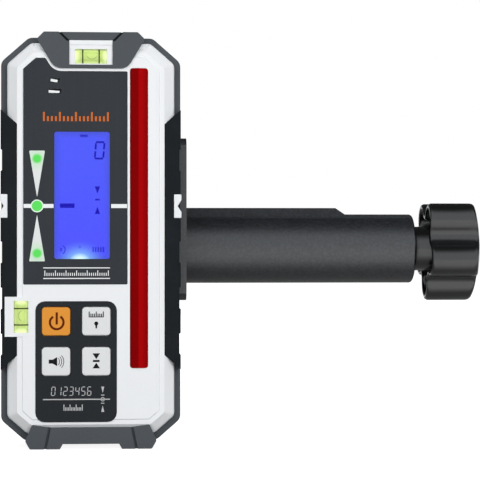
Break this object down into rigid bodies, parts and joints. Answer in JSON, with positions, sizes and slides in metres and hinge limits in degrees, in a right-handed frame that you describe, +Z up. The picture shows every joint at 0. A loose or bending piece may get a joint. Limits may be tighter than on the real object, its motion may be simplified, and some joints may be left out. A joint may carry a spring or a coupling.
{
  "type": "laser receiver with staff clamp",
  "caption": "Hand-held laser receiver with a red detector window, lit display, keys and bubble vials, on a staff clamp with a long round arm and a lobed knob.",
  "frame": {"origin": "on the plane of the feet, under the middle of the case", "axes": "+X to the viewer's right along the clamp arm, +Y from the display to the back, +Z up"},
  "size_m": [0.2152, 0.0752, 0.178],
  "materials": {
    "white_plastic": "fine satin moulding",
    "grey_plastic": "fine-grained moulding",
    "grip_rubber": "soft matt",
    "panel_plastic": "smooth satin film",
    "clear_window": "clear and smooth",
    "display_glass": "lit blue display",
    "diffuser": "milky",
    "lens_plastic": "frosted",
    "lamp_plastic": "clear green",
    "key_orange": "satin",
    "key_grey": "satin",
    "red_window": "deep red and clear",
    "board_laminate": "satin",
    "component_black": "moulded",
    "vial_liquid": "clear yellow-green",
    "cell_jacket": "printed metal jacket",
    "contact_steel": "nickel plated",
    "screw_steel": "zinc plated",
    "brass": "turned",
    "arm_plastic": "fine-grained moulding",
    "bar_plastic": "smooth moulding",
    "pad_rubber": "soft matt"
  },
  "bodies": {
    "receiver": {"front_housing": "white_plastic", "rear_housing": "grey_plastic", "housing_seal": "grip_rubber", "housing_screws": "screw_steel", "top_cap": "grey_plastic", "bottom_bumper": "grey_plastic", "left_grip": "grip_rubber", "right_grip": "grip_rubber", "zero_marks": "white_plastic", "display_panel": "panel_plastic", "display_window": "clear_window", "display_glass": "display_glass", "display_backlight": "diffuser", "light_lenses": "lens_plastic", "signal_lights": "lamp_plastic", "keypad_panel": "panel_plastic", "receiver_window": "red_window", "sensor_board": "board_laminate", "photodiodes": "component_black", "main_board": "board_laminate", "board_screws": "screw_steel", "buzzer": "component_black", "key_switches": "component_black", "top_vial_block": "white_plastic", "top_vial": "vial_liquid", "side_vial_block": "white_plastic", "side_vial": "vial_liquid", "battery_cells": "cell_jacket", "battery_contacts": "contact_steel", "door_hinge_pin": "screw_steel", "door_seal": "grip_rubber", "clamp_insert": "brass", "bracket_screw": "screw_steel", "clamp_bracket": "arm_plastic", "fixed_jaw_pad": "pad_rubber", "clamp_arm": "arm_plastic", "arm_screws": "screw_steel", "thrust_washer": "brass"},
    "door": {"battery_door": "arm_plastic"},
    "power_key": {"power_key": "key_orange"},
    "unit_key": {"unit_key": "key_grey"},
    "sound_key": {"sound_key": "key_grey"},
    "mode_key": {"mode_key": "key_grey"},
    "jaw": {"push_bar": "bar_plastic", "moving_jaw": "arm_plastic", "moving_jaw_pad": "pad_rubber", "jaw_screw": "screw_steel", "spindle_nut": "brass"},
    "knob": {"clamp_knob": "arm_plastic", "spindle": "screw_steel", "knob_pin": "screw_steel"}
  },
  "joints": [
    {"name": "knob_turn", "type": "hinge", "parent": "receiver", "child": "knob", "pos_m": [0.144, 0.036, 0.0853], "axis": [-1, 0, 0], "range_deg": [0, 3600]},
    {"name": "jaw_slide", "type": "slide", "parent": "receiver", "child": "jaw", "axis": [-1, 0, 0], "range_m": [0, 0.05]},
    {"name": "battery_door_hinge", "type": "hinge", "parent": "receiver", "child": "door", "pos_m": [0, 0.0148, 0.0112], "axis": [-1, 0, 0], "range_deg": [0, 90]},
    {"name": "power_key_press", "type": "slide", "parent": "receiver", "child": "power_key", "axis": [0, 1, 0], "range_m": [0, 0.001], "stiffness_N_per_m": 800},
    {"name": "unit_key_press", "type": "slide", "parent": "receiver", "child": "unit_key", "axis": [0, 1, 0], "range_m": [0, 0.001], "stiffness_N_per_m": 800},
    {"name": "sound_key_press", "type": "slide", "parent": "receiver", "child": "sound_key", "axis": [0, 1, 0], "range_m": [0, 0.001], "stiffness_N_per_m": 800},
    {"name": "mode_key_press", "type": "slide", "parent": "receiver", "child": "mode_key", "axis": [0, 1, 0], "range_m": [0, 0.001], "stiffness_N_per_m": 800}
  ],
  "couplings": [
    {"joint": "knob_turn", "follows": "jaw_slide", "rad_per_m": 1256.6}
  ]
}
